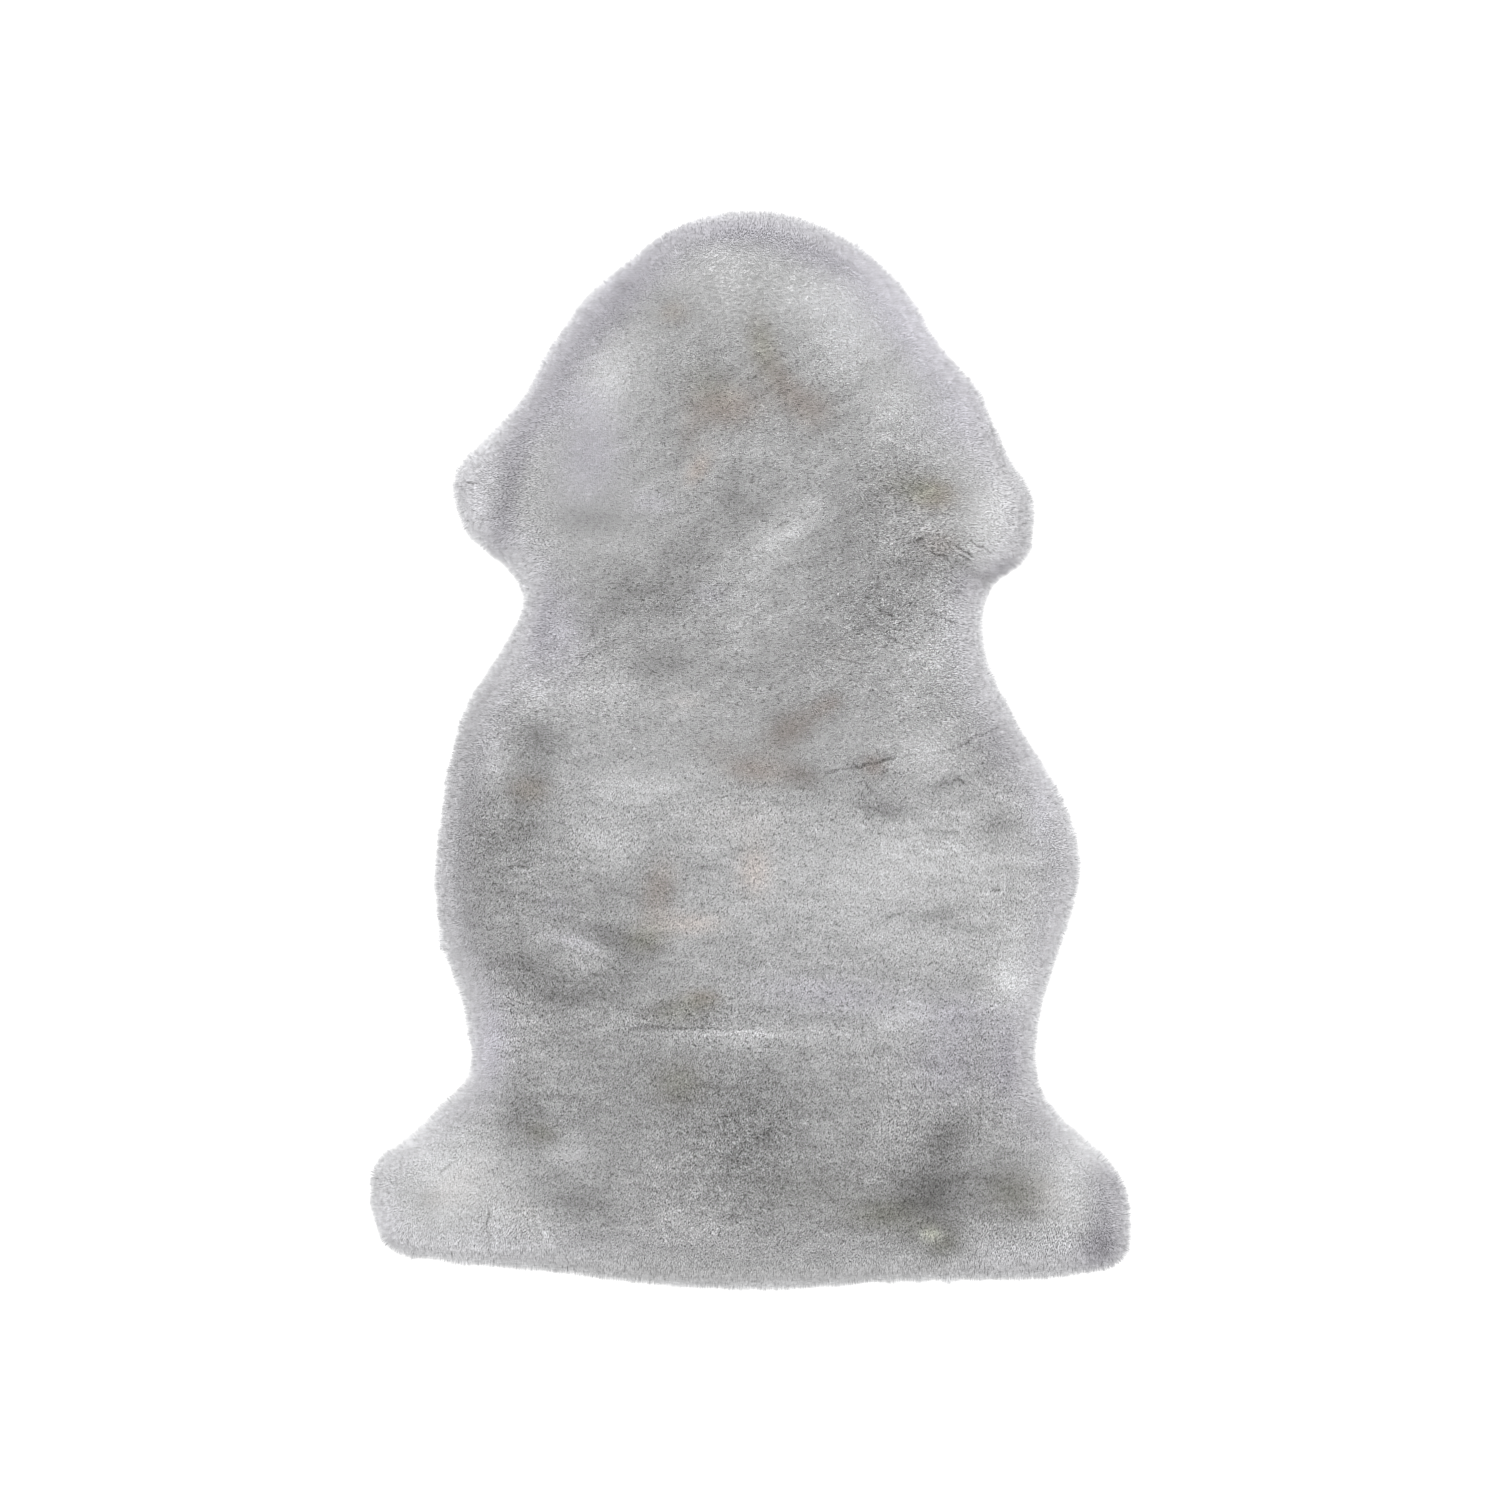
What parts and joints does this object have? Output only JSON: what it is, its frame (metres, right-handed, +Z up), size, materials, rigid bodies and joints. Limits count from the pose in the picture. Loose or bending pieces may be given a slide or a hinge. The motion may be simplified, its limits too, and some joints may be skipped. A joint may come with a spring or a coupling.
{
  "type": "lambskin rug",
  "caption": "One whole shorn lambskin pelt lying flat as a rug, wool side up, with a rounded neck, foreleg flaps, a waist and hind-leg corners.",
  "frame": {"origin": "on the floor under the middle of the pelt's length and width", "axes": "+Z up out of the wool, +Y towards the neck, +X to the right with the wool up and the neck away"},
  "size_m": [0.6714, 0.9502, 0.0331],
  "materials": {
    "wool": "pale grey shorn wool, soft and matt",
    "hide": "undyed suede on the underside"
  },
  "bodies": {
    "root": {"lambskin": "wool"}
  },
  "joints": []
}
